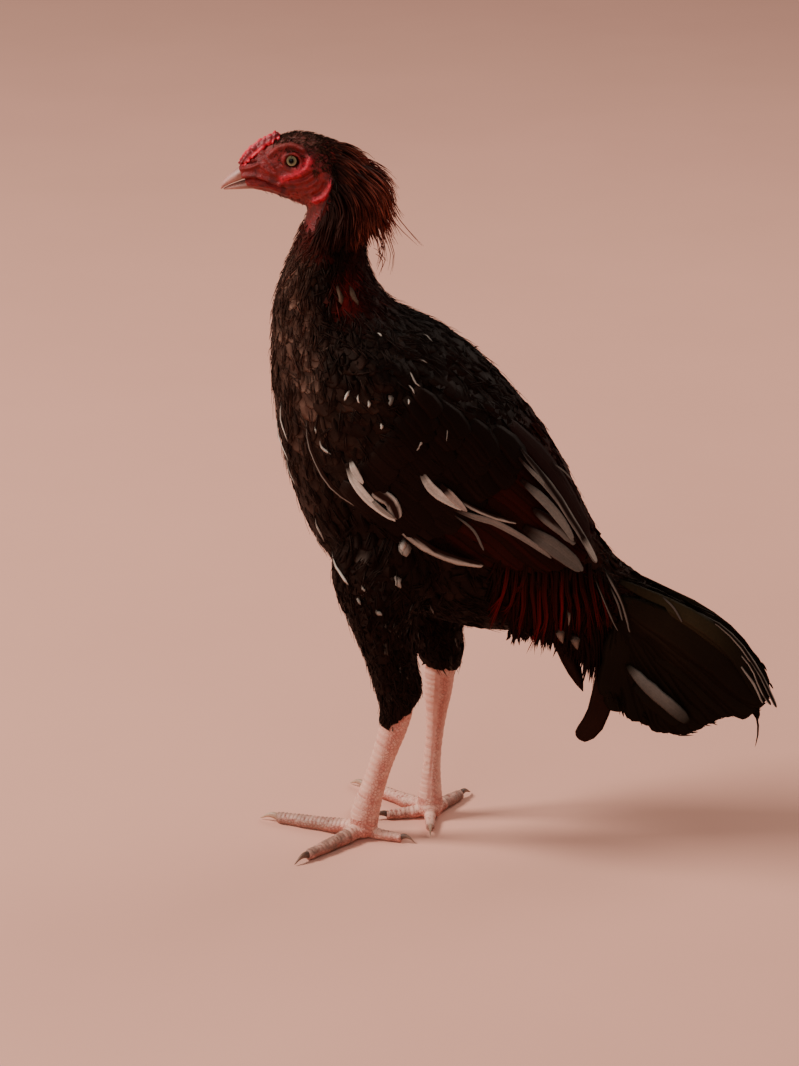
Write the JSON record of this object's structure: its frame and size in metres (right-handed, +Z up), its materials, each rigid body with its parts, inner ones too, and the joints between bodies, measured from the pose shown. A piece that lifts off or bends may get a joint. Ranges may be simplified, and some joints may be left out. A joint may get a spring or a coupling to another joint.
{
  "type": "aseel chicken, standing cock, still life-size model",
  "caption": "Life-size model of a standing gamecock with upright neck, close folded wings, red saddle hackles and a low dark tail.",
  "frame": {"origin": "on the floor, under the centre of the bird's outline seen from above", "axes": "+Z up; the bird faces -X, its left side is -Y and its right side +Y"},
  "size_m": [0.5074, 0.1824, 0.66],
  "materials": {
    "dark_feather": "soft, near-black brown plumage with a faint sheen",
    "hackle_red": "glossy dark mahogany hackle feathers",
    "saddle_red": "glossy deep red saddle feathers",
    "tail_black": "black feathers with a green sheen",
    "face_red": "bare red skin, finely folded",
    "comb_red": "bright red, pebbled",
    "beak_horn": "pale pinkish horn, satin",
    "eye_pale": "glossy pale eye with a black pupil",
    "leg_pink": "scaled flesh-pink skin",
    "claw_horn": "horn, satin"
  },
  "bodies": {
    "root": {"head": "face_red", "comb": "comb_red", "beak_upper": "beak_horn", "beak_lower": "beak_horn", "eye_left": "eye_pale", "eye_right": "eye_pale", "neck": "hackle_red", "torso": "dark_feather", "rump": "saddle_red", "tail": "tail_black", "wing_left": "dark_feather", "wing_right": "dark_feather", "thigh_left": "dark_feather", "thigh_right": "dark_feather", "shank_left": "leg_pink", "shank_right": "leg_pink", "foot_left": "leg_pink", "foot_right": "leg_pink", "toe_inner_left": "leg_pink", "toe_middle_left": "leg_pink", "toe_outer_left": "leg_pink", "toe_hind_left": "leg_pink", "toe_inner_right": "leg_pink", "toe_middle_right": "leg_pink", "toe_outer_right": "leg_pink", "toe_hind_right": "leg_pink", "claw_inner_left": "claw_horn", "claw_middle_left": "claw_horn", "claw_outer_left": "claw_horn", "claw_hind_left": "claw_horn", "claw_inner_right": "claw_horn", "claw_middle_right": "claw_horn", "claw_outer_right": "claw_horn", "claw_hind_right": "claw_horn"}
  },
  "joints": []
}
